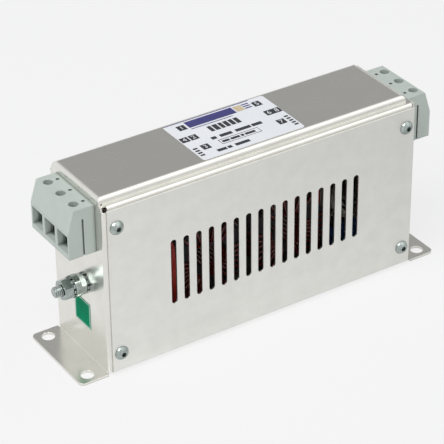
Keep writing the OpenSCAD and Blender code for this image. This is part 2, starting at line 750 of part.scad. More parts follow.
chassis();
cover();
front_cover_screws();
back_cover_screws();
front_clinch_nuts();
back_clinch_nuts();
line_terminal_housing();
load_terminal_housing();
line_clamp_cages();
load_clamp_cages();
line_clamp_screws();
load_clamp_screws();
line_contact_bars();
load_contact_bars();
housing_screws();
earth_stud();
earth_tooth_washers();
earth_plain_washers();
earth_jam_nut();
earth_full_nut();
earth_lug();
rating_label();
earth_marker();
circuit_board();
board_standoffs();
board_screws();
choke_holders();
choke_cores();
phase_windings();
x_capacitors();
y_capacitors();
bleed_resistors();
line_phase_leads();
load_phase_leads();
earth_lead();
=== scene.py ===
"""Dresses the EMI line filter's solids for the picture.

Every solid gets its finish, and the label's print, the stud's thread, the wound coils, the light and the
camera are added. Sizes are in metres unless a name ends in mm.
"""

import logging
import math
from dataclasses import dataclass, field
from enum import Enum

import bmesh
import bpy
from mathutils import Matrix, Vector

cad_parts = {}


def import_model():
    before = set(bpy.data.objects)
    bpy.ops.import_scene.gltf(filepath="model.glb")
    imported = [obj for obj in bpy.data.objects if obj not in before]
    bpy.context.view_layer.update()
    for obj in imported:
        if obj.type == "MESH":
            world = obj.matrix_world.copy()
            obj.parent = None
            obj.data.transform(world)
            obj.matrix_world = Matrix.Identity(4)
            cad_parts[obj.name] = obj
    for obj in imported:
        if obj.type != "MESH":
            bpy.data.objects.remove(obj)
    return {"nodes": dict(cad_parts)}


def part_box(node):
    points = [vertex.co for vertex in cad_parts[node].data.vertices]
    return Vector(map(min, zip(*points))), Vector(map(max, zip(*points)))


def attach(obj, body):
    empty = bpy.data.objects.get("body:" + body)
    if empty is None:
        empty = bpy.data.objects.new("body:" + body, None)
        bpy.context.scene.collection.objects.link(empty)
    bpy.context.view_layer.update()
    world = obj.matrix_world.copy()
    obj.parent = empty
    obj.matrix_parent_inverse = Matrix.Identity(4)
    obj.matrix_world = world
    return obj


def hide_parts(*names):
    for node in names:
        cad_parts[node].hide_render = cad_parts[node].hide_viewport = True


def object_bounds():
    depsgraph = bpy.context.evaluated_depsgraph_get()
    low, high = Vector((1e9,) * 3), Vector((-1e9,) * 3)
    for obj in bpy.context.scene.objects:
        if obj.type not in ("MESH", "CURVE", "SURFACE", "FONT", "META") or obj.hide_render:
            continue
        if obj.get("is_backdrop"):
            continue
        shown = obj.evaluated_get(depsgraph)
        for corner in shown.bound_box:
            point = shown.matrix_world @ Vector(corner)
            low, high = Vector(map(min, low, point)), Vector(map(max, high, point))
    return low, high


LOG = logging.getLogger("line_filter")
MM = 0.001

# Detail of the slow mottling and of the fine texture, the same in every finish.
PATCH_NOISE = {"Detail": 3.0, "Roughness": 0.55}
GRAIN_NOISE = {"Detail": 4.0, "Roughness": 0.6}
# Noise level at which a finish shows only its first colour, and its second.
MOTTLE_RANGE = {"From Min": 0.35, "From Max": 0.65}
# Share of open surroundings at which the painted crevice shade is full, and at which it is gone.
PAINTED_SHADE_RANGE = {"From Min": 0.15, "From Max": 0.75}
# Colour of the painted shade blended into crevices, joints and sockets.
PAINTED_SHADE_COLOUR = "1d201f"
PAINTED_SHADE_SAMPLES = 8
EDGE_SAMPLES = 6


def linear(hex_colour: str) -> tuple[float, float, float, float]:
    """Turns an sRGB hex colour into a linear one.

    Args:
        hex_colour: six hex digits, such as "b0b4af".

    Returns:
        Linear red, green, blue and an alpha of 1.
    """
    parts = [int(hex_colour[i : i + 2], 16) / 255 for i in (0, 2, 4)]
    lin = [c / 12.92 if c <= 0.04045 else ((c + 0.055) / 1.055) ** 2.4 for c in parts]
    return (lin[0], lin[1], lin[2], 1.0)


def add(
    tree: bpy.types.NodeTree, kind: str, inputs: dict | None = None, **settings: object
) -> bpy.types.Node:
    """Adds a node with its settings and links.

    Args:
        tree: the node tree to add to.
        kind: the node's type name.
        inputs: socket name or number to a value, or to an output socket to link from.
        **settings: the node's own properties.

    Returns:
        The new node.
    """
    node = tree.nodes.new(kind)
    for key, value in settings.items():
        setattr(node, key, value)
    for key, value in (inputs or {}).items():
        if isinstance(value, bpy.types.NodeSocket):
            tree.links.new(value, node.inputs[key])
        else:
            node.inputs[key].default_value = value
    return node


class Grain(Enum):
    """Direction in which a rolled or brushed surface is drawn out."""

    ALONG_X = (0.05, 1.0, 1.0)
    NONE = (1.0, 1.0, 1.0)


class Ink(Enum):
    """Inks of the label's print, by material number. A later one lies in a higher layer."""

    BLACK = 0
    BLUE = 1
    SAND = 2
    WHITE = 3


@dataclass(frozen=True)
class Finish:
    """A procedural surface: base colour, gloss, mottling in patches and a fine bump.

    A patch is a slow change of colour and gloss. Grain is the fine texture that the bump and a small part
    of the colour follow. An edge is a rounding that only the shading has, and the painted shade reach is
    how far from an opposite wall painted shade starts to darken the surface's colour.
    """

    name: str
    colour: str
    colour_2: str
    metallic: float = 0.0
    roughness: float = 0.5
    roughness_2: float = 0.5
    patch_mm: float = 20.0
    grain_mm: float = 0.6
    grain: Grain = Grain.NONE
    grain_mix: float = 0.15
    bump: float = 0.1
    bump_mm: float = 0.05
    edge_mm: float = 0.0
    coat: float = 0.0
    painted_shade_mm: float = 0.0
    specular: float = 0.5

    def mottle(
        self, tree: bpy.types.NodeTree
    ) -> tuple[bpy.types.NodeSocket, bpy.types.NodeSocket]:
        """Adds the two noises that the surface follows.

        Args:
            tree: the node tree to add to.

        Returns:
            The mottling from 0 to 1, and the fine grain.
        """
        place = add(tree, "ShaderNodeTexCoord").outputs["Object"]
        drawn = add(
            tree, "ShaderNodeMapping", {"Vector": place, "Scale": self.grain.value}
        ).outputs["Vector"]
        patch = add(
            tree,
            "ShaderNodeTexNoise",
            {"Vector": place, "Scale": 1 / (self.patch_mm * MM), **PATCH_NOISE},
        ).outputs["Fac"]
        grain = add(
            tree,
            "ShaderNodeTexNoise",
            {"Vector": drawn, "Scale": 1 / (self.grain_mm * MM), **GRAIN_NOISE},
        ).outputs["Fac"]
        blend = add(
            tree, "ShaderNodeMix", {"Factor": self.grain_mix, "A": patch, "B": grain}, data_type="FLOAT"
        ).outputs["Result"]
        spread = add(tree, "ShaderNodeMapRange", {"Value": blend, **MOTTLE_RANGE}).outputs["Result"]
        return spread, grain

    def tint(
        self, tree: bpy.types.NodeTree, spread: bpy.types.NodeSocket
    ) -> bpy.types.NodeSocket:
        """Adds the base colour, with painted shade darkening it in crevices where the finish asks for it.

        Args:
            tree: the node tree to add to.
            spread: the mottling from 0 to 1.

        Returns:
            The colour.
        """
        tint = add(
            tree,
            "ShaderNodeMix",
            {"Factor": spread, "A": linear(self.colour), "B": linear(self.colour_2)},
            data_type="RGBA",
        ).outputs["Result"]
        if not self.painted_shade_mm:
            return tint
        # Painted shade: ambient occlusion blends the colour towards a dark shade colour near opposite
        # walls.
        openness = add(
            tree,
            "ShaderNodeAmbientOcclusion",
            {"Distance": self.painted_shade_mm * MM},
            samples=PAINTED_SHADE_SAMPLES,
        ).outputs["AO"]
        clear_of_painted_shade = add(tree, "ShaderNodeMapRange", {"Value": openness, **PAINTED_SHADE_RANGE}).outputs["Result"]
        return add(
            tree,
            "ShaderNodeMix",
            {"Factor": clear_of_painted_shade, "A": linear(PAINTED_SHADE_COLOUR), "B": tint},
            data_type="RGBA",
        ).outputs["Result"]

    def relief(
        self, tree: bpy.types.NodeTree, grain: bpy.types.NodeSocket
    ) -> bpy.types.NodeSocket:
        """Adds the fine bump, over a rounded edge where the finish asks for it.

        Args:
            tree: the node tree to add to.
            grain: the fine grain.

        Returns:
            The normal.
        """
        inputs = {"Height": grain, "Strength": self.bump, "Distance": self.bump_mm * MM}
        if self.edge_mm:
            inputs["Normal"] = add(
                tree, "ShaderNodeBevel", {"Radius": self.edge_mm * MM}, samples=EDGE_SAMPLES
            ).outputs["Normal"]
        return add(tree, "ShaderNodeBump", inputs).outputs["Normal"]

    def build(self) -> bpy.types.Material:
        """Builds the material.

        Returns:
            The finished Blender material.
        """
        mat = bpy.data.materials.new(self.name)
        mat.use_nodes = True
        tree = mat.node_tree
        tree.nodes.clear()
        spread, grain = self.mottle(tree)
        rough = add(
            tree,
            "ShaderNodeMapRange",
            {"Value": spread, "To Min": self.roughness, "To Max": self.roughness_2},
        ).outputs["Result"]
        shader = add(
            tree,
            "ShaderNodeBsdfPrincipled",
            {
                "Base Color": self.tint(tree, spread),
                "Metallic": self.metallic,
                "Roughness": rough,
                "Normal": self.relief(tree, grain),
                "Coat Weight": self.coat,
                "Specular IOR Level": self.specular,
            },
        )
        add(tree, "ShaderNodeOutputMaterial", {"Surface": shader.outputs["BSDF"]})
        return mat


# Aluminium sheet as rolled, under a passivated film: soft and nearly white, with faint dull patches, and
# painted shade in its joints and creases.
COVER_SHEET = Finish(
    "satin_aluminium_cover", "eeeee9", "e8e8e3",
    metallic=1.0, roughness=0.36, roughness_2=0.41, patch_mm=9.0, grain_mm=0.5,
    grain=Grain.ALONG_X, grain_mix=0.2, bump=0.06, bump_mm=0.03, edge_mm=0.3, painted_shade_mm=1.2,
)
# The same sheet in a glossier temper: clearer reflections in the top, the walls and the feet. Painted
# shade darkens it in its joints and creases, such as where the terminal blocks meet the walls.
CHASSIS_SHEET = Finish(
    "satin_aluminium_chassis", "e9e8e2", "e3e2dc",
    metallic=1.0, roughness=0.22, roughness_2=0.28, patch_mm=14.0, grain_mm=0.5,
    grain=Grain.ALONG_X, grain_mix=0.2, bump=0.06, bump_mm=0.03, edge_mm=0.3, painted_shade_mm=1.2,
)
# Steel with bright zinc: bluish grey with small crystals, glossier than the sheet, with painted shade
# making its sockets black.
ZINC_PLATE = Finish(
    "bright_zinc_plate", "b9c2be", "8f9996",
    metallic=1.0, roughness=0.13, roughness_2=0.24, patch_mm=2.5, grain_mm=0.25,
    grain_mix=0.4, bump=0.2, bump_mm=0.02, edge_mm=0.15, painted_shade_mm=1.8,
)
# Glass-filled polyamide as moulded: matte grey-green, a fine spark-eroded texture, with painted shade
# darkening its entries.
POLYAMIDE = Finish(
    "moulded_grey_polyamide", "bfc8c2", "b8c1bb",
    roughness=0.5, roughness_2=0.58, patch_mm=12.0, grain_mm=0.35,
    grain_mix=0.5, bump=0.3, bump_mm=0.03, edge_mm=0.35, painted_shade_mm=4.0,
)
# Dip-tinned copper: dull silver with soft, uneven gloss.
TINNED_COPPER = Finish(
    "tinned_copper", "c4c2bc", "adaba5",
    metallic=1.0, roughness=0.3, roughness_2=0.42, patch_mm=3.0, grain_mm=0.3,
    bump=0.2, bump_mm=0.02,
)
# Printed polyester film: smooth, faintly blue white with a weak shine.
LABEL_FILM = Finish(
    "printed_polyester_film", "f0f2f6", "eaedf2",
    roughness=0.32, roughness_2=0.38, patch_mm=18.0, grain_mm=0.8,
    bump=0.06, bump_mm=0.01, coat=0.1,
)
# Matte vinyl film in signal green, with almost no shine, so that its colour stays deep.
GREEN_FILM = Finish(
    "green_vinyl_film", "008c63", "00845c",
    roughness=0.5, roughness_2=0.56, patch_mm=6.0, grain_mm=0.5,
    bump=0.08, bump_mm=0.01, specular=0.03,
)
# The same film where it is left unprinted at its rim: pale and matte.
MINT_FILM = Finish(
    "mint_vinyl_film", "9fc9b8", "95c0ae",
    roughness=0.5, roughness_2=0.56, patch_mm=6.0, grain_mm=0.5,
    bump=0.08, bump_mm=0.01,
)
# Cured solder resist on laminate: dark green and half glossy.
SOLDER_RESIST = Finish(
    "green_solder_resist", "23482f", "1b3b26",
    roughness=0.3, roughness_2=0.4, patch_mm=9.0, grain_mm=0.6,
    bump=0.1, bump_mm=0.02,
)
# Pressed ferrite under a thin coat: nearly black and grainy.
FERRITE = Finish(
    "coated_ferrite", "2a2a2c", "1f1f21",
    roughness=0.6, roughness_2=0.72, patch_mm=5.0, grain_mm=0.4,
    bump=0.3, bump_mm=0.04,
)
# Drawn copper wire under red-brown enamel: dark, with a sharp line of gloss along each turn.
ENAMEL = Finish(
    "enamelled_wire", "762216", "571810",
    roughness=0.22, roughness_2=0.3, patch_mm=3.0, grain_mm=0.4,
    bump=0.1, bump_mm=0.01, coat=0.4,
)
# Moulded nylon: plain matte black.
NYLON = Finish(
    "black_nylon", "1f2021", "161718",
    roughness=0.5, roughness_2=0.6, patch_mm=6.0, grain_mm=0.3,
    bump=0.2, bump_mm=0.02,
)
# Moulded box of a film capacitor: dull yellow, half matte.
X_CASE = Finish(
    "yellow_potted_case", "b98a22", "a87c1c",
    roughness=0.42, roughness_2=0.5, patch_mm=6.0, grain_mm=0.4,
    bump=0.15, bump_mm=0.02,
)
# Epoxy dip: blue, slightly uneven and half glossy.
Y_CASE = Finish(
    "blue_epoxy_dip", "24508f", "1d437b",
    roughness=0.35, roughness_2=0.45, patch_mm=5.0, grain_mm=0.4,
    bump=0.2, bump_mm=0.03,
)
# Resistor lacquer: tan, with a soft shine.
LACQUER = Finish(
    "tan_resistor_lacquer", "b9a073", "a98f63",
    roughness=0.35, roughness_2=0.45, patch_mm=2.0, grain_mm=0.3,
    bump=0.1, bump_mm=0.02,
)
# Extruded soft PVC: clear red with a broad, soft highlight.
PHASE_PVC = Finish(
    "dark_red_wire_sleeve", "c4382f", "b02e27",
    roughness=0.4, roughness_2=0.48, patch_mm=8.0, grain_mm=0.3,
    bump=0.1, bump_mm=0.02,
)
# The same PVC in two greens that read as the earth wire's two colours.
EARTH_PVC = Finish(
    "green_yellow_wire_sleeve", "8aa32a", "5f8f2a",
    roughness=0.4, roughness_2=0.48, patch_mm=3.0, grain_mm=0.3,
    bump=0.1, bump_mm=0.02,
)
# Screen ink on film: flat near-black.
INK_BLACK = Finish(
    "black_print_ink", "2b2d33", "24262b",
    roughness=0.4, roughness_2=0.46, patch_mm=4.0, grain_mm=0.3,
    bump=0.05, bump_mm=0.01,
)
# Screen ink on film: flat violet blue.
INK_BLUE = Finish(
    "violet_blue_print_ink", "3c3a7c", "353370",
    roughness=0.38, roughness_2=0.44, patch_mm=4.0, grain_mm=0.3,
    bump=0.05, bump_mm=0.01,
)
# Screen ink on film: flat sand yellow.
INK_SAND = Finish(
    "sand_print_ink", "d3c3a4", "c9b896",
    roughness=0.4, roughness_2=0.46, patch_mm=4.0, grain_mm=0.3,
    bump=0.05, bump_mm=0.01,
)

NODE_FINISH: dict[str, Finish] = {
    "chassis": CHASSIS_SHEET,
    "cover": COVER_SHEET,
    "line_terminal_housing": POLYAMIDE,
    "load_terminal_housing": POLYAMIDE,
    "line_contact_bars": TINNED_COPPER,
    "load_contact_bars": TINNED_COPPER,
    "earth_lug": TINNED_COPPER,
    "rating_label": LABEL_FILM,
    "earth_marker": GREEN_FILM,
    "circuit_board": SOLDER_RESIST,
    "choke_holders": NYLON,
    "choke_cores": FERRITE,
    "phase_windings": ENAMEL,
    "x_capacitors": X_CASE,
    "y_capacitors": Y_CASE,
    "bleed_resistors": LACQUER,
    "line_phase_leads": PHASE_PVC,
    "load_phase_leads": PHASE_PVC,
    "earth_lead": EARTH_PVC,
}


@dataclass
class Wardrobe:
    """Keeps one built material for each finish."""

    built: dict[str, bpy.types.Material] = field(default_factory=dict)

    def get(self, finish: Finish) -> bpy.types.Material:
        """Gives the finish's material, and builds it the first time.

        Args:
            finish: the finish that is asked for.

        Returns:
            Its material.
        """
        if finish.name not in self.built:
            self.built[finish.name] = finish.build()
        return self.built[finish.name]

    def dress(self, thing: bpy.types.Object, finish: Finish) -> None:
        """Gives an object one finish all over."""
        thing.data.materials.clear()
        thing.data.materials.append(self.get(finish))


def as_piece(name: str, mesh: bpy.types.Mesh) -> bpy.types.Object:
    """Links a mesh as a piece that rides on the case.

    Args:
        name: the piece's name.
        mesh: its mesh, in metres in the part's frame.

    Returns:
        The new object.
    """
    thing = bpy.data.objects.new(name, mesh)
    bpy.context.scene.collection.objects.link(thing)
    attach(thing, "root")
    return thing


def to_mesh(bm: bmesh.types.BMesh, name: str) -> bpy.types.Mesh:
    """Turns a mesh under construction into a finished one, and frees it.

    Args:
        bm: the mesh being built.
        name: name of the finished mesh.

    Returns:
        The finished mesh.
    """
    mesh = bpy.data.meshes.new(name)
    bm.to_mesh(mesh)
    bm.free()
    return mesh


@dataclass
class LabelFilm:
    """The rating label's film with rounded corners, sunk so that its print stays in the CAD box."""

    low: Vector
    high: Vector
    corner_r: float = 1.6 * MM
    sunk: float = 0.06 * MM
    steps: int = 6

    @property
    def top(self) -> float:
        """Height of the film's printed face."""
        return self.high.z - self.sunk

    def rim(self) -> list[tuple[float, float]]:
        """Walks round the film's edge, quarter by quarter from the corner at high x and y.

        Returns:
            The edge's points.
        """
        rim = []
        centres = [
            (self.high.x - self.corner_r, self.high.y - self.corner_r),
            (self.low.x + self.corner_r, self.high.y - self.corner_r),
            (self.low.x + self.corner_r, self.low.y + self.corner_r),
            (self.high.x - self.corner_r, self.low.y + self.corner_r),
        ]
        for quarter, (x, y) in enumerate(centres):
            for i in range(self.steps + 1):
                a = (quarter + i / self.steps) * math.pi / 2
                rim.append((x + self.corner_r * math.cos(a), y + self.corner_r * math.sin(a)))
        return rim

    def build(self, wardrobe: Wardrobe) -> bpy.types.Object:
        """Builds the film as a thin rounded plate in the label's place.

        Args:
            wardrobe: the material store.

        Returns:
            The film's object.
        """
        rim = self.rim()
        bm = bmesh.new()
        lower = [bm.verts.new((x, y, self.low.z)) for x, y in rim]
        upper = [bm.verts.new((x, y, self.top)) for x, y in rim]
        bm.faces.new(upper)
        bm.faces.new(list(reversed(lower)))
        for i in range(len(rim)):
            k = (i + 1) % len(rim)
            bm.faces.new((lower[i], lower[k], upper[k], upper[i]))
        film = as_piece("rounded_label_film", to_mesh(bm, "rounded_label_film"))
        wardrobe.dress(film, LABEL_FILM)
        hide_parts("rating_label")
        return film


@dataclass
class RatingPrint:
    """Flat print on the rating label: generic bars, boxes and terminal numbers.

    Places are shares of the label: across runs along the case from its line end, down runs from its back
    edge. Rows of small bars stand for lines of print, and a width below zero is a gap in one.
    """

    top: float
    corner: tuple[float, float]
    length: float
    width: float
    lift: float = 0.02 * MM
    layer_step: float = 0.5
    word_gap: float = 0.012
    upright_word: float = 0.035
    terminal_downs: tuple[float, float, float] = (0.15, 0.435, 0.72)
    terminal_half: tuple[float, float] = (0.038, 0.062)
    digit: float = 3.2 * MM
    font_per_digit: float = 1.4

    def place(self, across: float, down: float, ink: Ink) -> Vector:
        """Turns shares of the label into a point just above it.

        Args:
            across: share of the label's length.
            down: share of its width from the back edge.
            ink: the ink, which sets the layer.

        Returns:
            The point in metres.
        """
        x, y = self.corner
        height = self.top + self.lift * (1 + self.layer_step * ink.value)
        return Vector((x + across * self.length, y - down * self.width, height))

    def cell(
        self, bm: bmesh.types.BMesh, left: float, back: float, right: float, front: float, ink: Ink
    ) -> None:
        """Adds a flat printed rectangle.

        Args:
            bm: the mesh being built.
            left: its left side, as a share of the label's length.
            back: its back side, as a share of the label's width.
            right: its right side.
            front: its front side.
            ink: the ink that it is printed in.
        """
        corners = [(left, front), (right, front), (right, back), (left, back)]
        face = bm.faces.new([bm.verts.new(self.place(a, d, ink)) for a, d in corners])
        face.material_index = ink.value

    def frame(
        self, bm: bmesh.types.BMesh, left: float, back: float, right: float, front: float
    ) -> None:
        """Adds an empty box drawn with thin black rules.

        Args:
            bm: the mesh being built.
            left: its left side, as a share of the label's length.
            back: its back side, as a share of the label's width.
            right: its right side.
            front: its front side.
        """
        rule_across, rule_down = 0.005, 0.01
        for edge in (back, front - rule_down):
            self.cell(bm, left, edge, right, edge + rule_down, Ink.BLACK)
        for edge in (left, right - rule_across):
            self.cell(bm, edge, back, edge + rule_across, front, Ink.BLACK)

    def words(
        self, bm: bmesh.types.BMesh, left: float, back: float, front: float, widths: list[float]
    ) -> None:
        """Adds a row of short bars that reads as a line of small print.

        Args:
            bm: the mesh being built.
            left: where the row starts, as a share of the label's length.
            back: the bars' back edge, as a share of the label's width.
            front: the bars' front edge.
            widths: each bar's width, or a gap's where it is below zero.
        """
        at = left
        for width in widths:
            if width > 0:
                self.cell(bm, at, back, at + width, front, Ink.BLACK)
            at += abs(width) + self.word_gap

    def upright_words(
        self, bm: bmesh.types.BMesh, left: float, right: float, downs: list[float]
    ) -> None:
        """Adds a column of short bars beside the label's end."""
        for down in downs:
            self.cell(bm, left, down, right, down + self.upright_word, Ink.BLACK)

    def number(self, bm: bmesh.types.BMesh, text: str, across: float, down: float) -> None:
        """Adds a pale terminal number.

        Args:
            bm: the mesh being built.
            text: the digit.
            across: centre, as a share of the label's length.
            down: centre, as a share of its width.
        """
        curve = bpy.data.curves.new("digit", "FONT")
        curve.body = text
        curve.size = self.digit * self.font_per_digit
        curve.align_x = "CENTER"
        curve.align_y = "CENTER"
        holder = bpy.data.objects.new("digit", curve)
        mesh = bpy.data.meshes.new_from_object(holder)
        mesh.transform(Matrix.Translation(self.place(across, down, Ink.WHITE)))
        before = len(bm.faces)
        bm.from_mesh(mesh)
        bm.faces.ensure_lookup_table()
        for face in bm.faces[before:]:
            face.material_index = Ink.WHITE.value
        bpy.data.objects.remove(holder)
        bpy.data.curves.remove(curve)
        bpy.data.meshes.remove(mesh)

    def terminals(self, bm: bmesh.types.BMesh, column: float, outer: float, first: int) -> None:
        """Adds one end's black squares with their numbers, and one more beside the middle one.

        Args:
            bm: the mesh being built.
            column: centre of the column of three, as a share of the label's length.
            outer: centre of the fourth square.
            first: number in the first square.
        """
        spots = [(column, down) for down in self.terminal_downs]
        spots.append((outer, self.terminal_downs[1]))
        half_across, half_down = self.terminal_half
        for i, (across, down) in enumerate(spots):
            self.cell(
                bm,
                across - half_across,
                down - half_down,
                across + half_across,
                down + half_down,
                Ink.BLACK,
            )
            self.number(bm, str(first + i), across, down)

    def heading(self, bm: bmesh.types.BMesh) -> None:
        """Adds the blue heading bar with its rules, and the sand field and short bars beside it.

        Args:
            bm: the mesh being built.
        """
        self.cell(bm, 0.01, 0.005, 0.85, 0.02, Ink.BLUE)
        self.cell(bm, 0.19, 0.045, 0.66, 0.205, Ink.BLUE)
        self.cell(bm, 0.19, 0.235, 0.60, 0.25, Ink.BLUE)
        self.cell(bm, 0.672, 0.055, 0.748, 0.195, Ink.SAND)
        for i in range(3):
            self.cell(bm, 0.755, 0.06 + 0.05 * i, 0.825, 0.085 + 0.05 * i, Ink.BLUE)

    def lines(self, bm: bmesh.types.BMesh) -> None:
        """Adds the bars that stand for the lines of print, with the framed line between them.

        Args:
            bm: the mesh being built.
        """
        self.words(bm, 0.31, 0.30, 0.445, [0.036, 0.046, 0.036, 0.040, 0.040, 0.040])
        self.words(bm, 0.24, 0.56, 0.625, [0.05, -0.01, 0.12, -0.01, 0.15, 0.10])
        self.frame(bm, 0.27, 0.67, 0.66, 0.79)
        self.words(bm, 0.29, 0.705, 0.755, [0.07, 0.09, 0.03, 0.10])
        self.words(bm, 0.175, 0.86, 0.92, [0.09, 0.04, -0.01, 0.14])
        self.upright_words(bm, 0.018, 0.06, [0.68, 0.74, 0.80, 0.86])
        self.upright_words(bm, 0.945, 0.985, [0.62, 0.68, 0.74, 0.80, 0.86])

    def build(self, wardrobe: Wardrobe) -> bpy.types.Object:
        """Builds the print as one flat piece on the label.

        Args:
            wardrobe: the material store.

        Returns:
            The print's object.
        """
        bm = bmesh.new()
        self.heading(bm)
        self.lines(bm)
        self.terminals(bm, 0.132, 0.045, 1)
        self.terminals(bm, 0.884, 0.960, 5)
        mesh = to_mesh(bm, "label_print")
        for finish in (INK_BLACK, INK_BLUE, INK_SAND, LABEL_FILM):
            mesh.materials.append(wardrobe.get(finish))
        return as_piece("label_print", mesh)


@dataclass
class MarkerBorder:
    """Pale border printed round the earth marker on the line end's wall."""

    face_x: float
    low: tuple[float, float]
    high: tuple[float, float]
    band: float = 0.9 * MM
    lift: float = 0.02 * MM

    def build(self, wardrobe: Wardrobe) -> bpy.types.Object:
        """Builds the border as four mitred strips just outside the marker's face.

        Args:
            wardrobe: the material store.

        Returns:
            The border's object.
        """
        x = self.face_x - self.lift
        (y0, z0), (y1, z1) = self.low, self.high
        outer = [(y0, z0), (y1, z0), (y1, z1), (y0, z1)]
        inner = [
            (y + (self.band if y == y0 else -self.band), z + (self.band if z == z0 else -self.band))
            for y, z in outer
        ]
        bm = bmesh.new()
        out = [bm.verts.new((x, y, z)) for y, z in outer]
        inn = [bm.verts.new((x, y, z)) for y, z in inner]
        for i in range(4):
            k = (i + 1) % 4
            bm.faces.new((out[i], inn[i], inn[k], out[k]))
        border = as_piece("earth_marker_border", to_mesh(bm, "earth_marker_border"))
        wardrobe.dress(border, MINT_FILM)
        return border


@dataclass
class WoundTurns:
    """Round enamelled wire wound on both choke cores, made with Geometry Nodes."""

    core_low: Vector
    core_high: Vector
    bore: float = 24.0 * MM
    wire: float = 1.6 * MM
    turns: int = 9
    phases: int = 3
    bore_gap: float = 0.2 * MM
    rim_gap: float = 0.1 * MM
    wire_sides: int = 10

    def sizes(self) -> dict[str, tuple[str, float]]:
        """Works out the node group's inputs.

        Returns:
            Each input's socket type and value, by name.
        """
        core_r = (self.core_high.z - self.core_low.z) / 2
        inner = self.bore / 2 - self.bore_gap - self.wire / 2
        outer = core_r + self.rim_gap + self.wire / 2
        half_step = math.atan((self.wire / 2 + self.rim_gap) / (inner - self.wire / 2))
        return {
            "Turns": ("NodeSocketInt", self.turns),
            "Phases": ("NodeSocketInt", self.phases),
            "Wire radius": ("NodeSocketFloat", self.wire / 2),
            "Loop width": ("NodeSocketFloat", outer - inner),
            "Loop height": ("NodeSocketFloat", self.core_high.y - self.core_low.y + self.wire),
            "Loop centre": ("NodeSocketFloat", (outer + inner) / 2),
            "Step": ("NodeSocketFloat", 2 * half_step),
            "Core place": ("NodeSocketFloat", self.core_high.x - core_r),
            "Core height": ("NodeSocketFloat", (self.core_high.z + self.core_low.z) / 2),
        }

    def one_turn(
        self, tree: bpy.types.NodeTree, given: bpy.types.NodeOutputs
    ) -> bpy.types.NodeSocket:
        """Adds one closed turn of wire, set out from the core's axis.

        Args:
            tree: the node group.
            given: the group's inputs.

        Returns:
            The turn's geometry.
        """
        loop = add(
            tree,
            "GeometryNodeCurvePrimitiveQuadrilateral",
            {"Width": given["Loop width"], "Height": given["Loop height"]},
        )
        path = add(
            tree,
            "GeometryNodeFilletCurve",
            {"Curve": loop.outputs["Curve"], "Radius": given["Wire radius"]},
        )
        section = add(
            tree,
            "GeometryNodeCurvePrimitiveCircle",
            {"Resolution": self.wire_sides, "Radius": given["Wire radius"]},
        )
        turn = add(
            tree,
            "GeometryNodeCurveToMesh",
            {"Curve": path.outputs["Curve"], "Profile Curve": section.outputs["Curve"]},
        )
        centre = add(tree, "ShaderNodeCombineXYZ", {"X": given["Loop centre"]})
        return add(
            tree,
            "GeometryNodeTransform",
            {"Geometry": turn.outputs["Mesh"], "Translation": centre.outputs["Vector"]},
        ).outputs["Geometry"]

    def spin(
        self, tree: bpy.types.NodeTree, given: bpy.types.NodeOutputs
    ) -> bpy.types.NodeSocket:
        """Works out each turn's angle round the core from its number.

        A phase's turns stand side by side about the phase's middle, and the phases share the core evenly.

        Args:
            tree: the node group.
            given: the group's inputs.

        Returns:
            The angle in radians.
        """
        index = add(tree, "GeometryNodeInputIndex").outputs["Index"]
        steps = (
            ("phases passed", "DIVIDE", index, given["Turns"]),
            ("phase", "FLOOR", "phases passed"),
            ("turn", "MODULO", index, given["Turns"]),
            ("turns less one", "SUBTRACT", given["Turns"], 1.0),
            ("middle", "DIVIDE", "turns less one", 2.0),
            ("from middle", "SUBTRACT", "turn", "middle"),
            ("swing", "MULTIPLY", "from middle", given["Step"]),
            ("share", "DIVIDE", 2 * math.pi, given["Phases"]),
            ("phase turned", "MULTIPLY", "phase", "share"),
            ("phase angle", "ADD", "phase turned", math.pi / 2),
            ("turn angle", "ADD", "phase angle", "swing"),
            ("angle", "MULTIPLY", "turn angle", -1.0),
        )
        found: dict[str, bpy.types.NodeSocket] = {}
        for name, operation, *terms in steps:
            values = [found[term] if isinstance(term, str) else term for term in terms]
            node = add(tree, "ShaderNodeMath", dict(enumerate(values)), operation=operation)
            found[name] = node.outputs["Value"]
        return found["angle"]

    def around_core(
        self,
        tree: bpy.types.NodeTree,
        given: bpy.types.NodeOutputs,
        turn: bpy.types.NodeSocket,
    ) -> bpy.types.NodeSocket:
        """Repeats a turn round one core, phase by phase.

        Args:
            tree: the node group.
            given: the group's inputs.
            turn: the turn's geometry.

        Returns:
            The instances of one core.
        """
        count = add(
            tree, "ShaderNodeMath", {0: given["Turns"], 1: given["Phases"]}, operation="MULTIPLY"
        )
        spots = add(
            tree, "GeometryNodeMeshLine", {"Count": count.outputs["Value"], "Offset": (0, 0, 0)}
        )
        rotation = add(tree, "ShaderNodeCombineXYZ", {"Y": self.spin(tree, given)})
        return add(
            tree,
            "GeometryNodeInstanceOnPoints",
            {
                "Points": spots.outputs["Mesh"],
                "Instance": turn,
                "Rotation": rotation.outputs["Vector"],
            },
        ).outputs["Instances"]

    def on_both_cores(
        self,
        tree: bpy.types.NodeTree,
        given: bpy.types.NodeOutputs,
        ring: bpy.types.NodeSocket,
    ) -> bpy.types.NodeSocket:
        """Repeats one core's turns on both cores.

        Args:
            tree: the node group.
            given: the group's inputs.
            ring: the instances of one core.

        Returns:
            The instances of both.
        """
        mirrored, doubled = (
            add(
                tree, "ShaderNodeMath", {0: given["Core place"], 1: factor}, operation="MULTIPLY"
            ).outputs["Value"]
            for factor in (-1.0, 2.0)
        )
        first = add(tree, "ShaderNodeCombineXYZ", {"X": mirrored, "Z": given["Core height"]})
        apart = add(tree, "ShaderNodeCombineXYZ", {"X": doubled})
        cores = add(
            tree,
            "GeometryNodeMeshLine",
            {
                "Count": 2,
                "Start Location": first.outputs["Vector"],
                "Offset": apart.outputs["Vector"],
            },
        )
        return add(
            tree,
            "GeometryNodeInstanceOnPoints",
            {"Points": cores.outputs["Mesh"], "Instance": ring},
        ).outputs["Instances"]

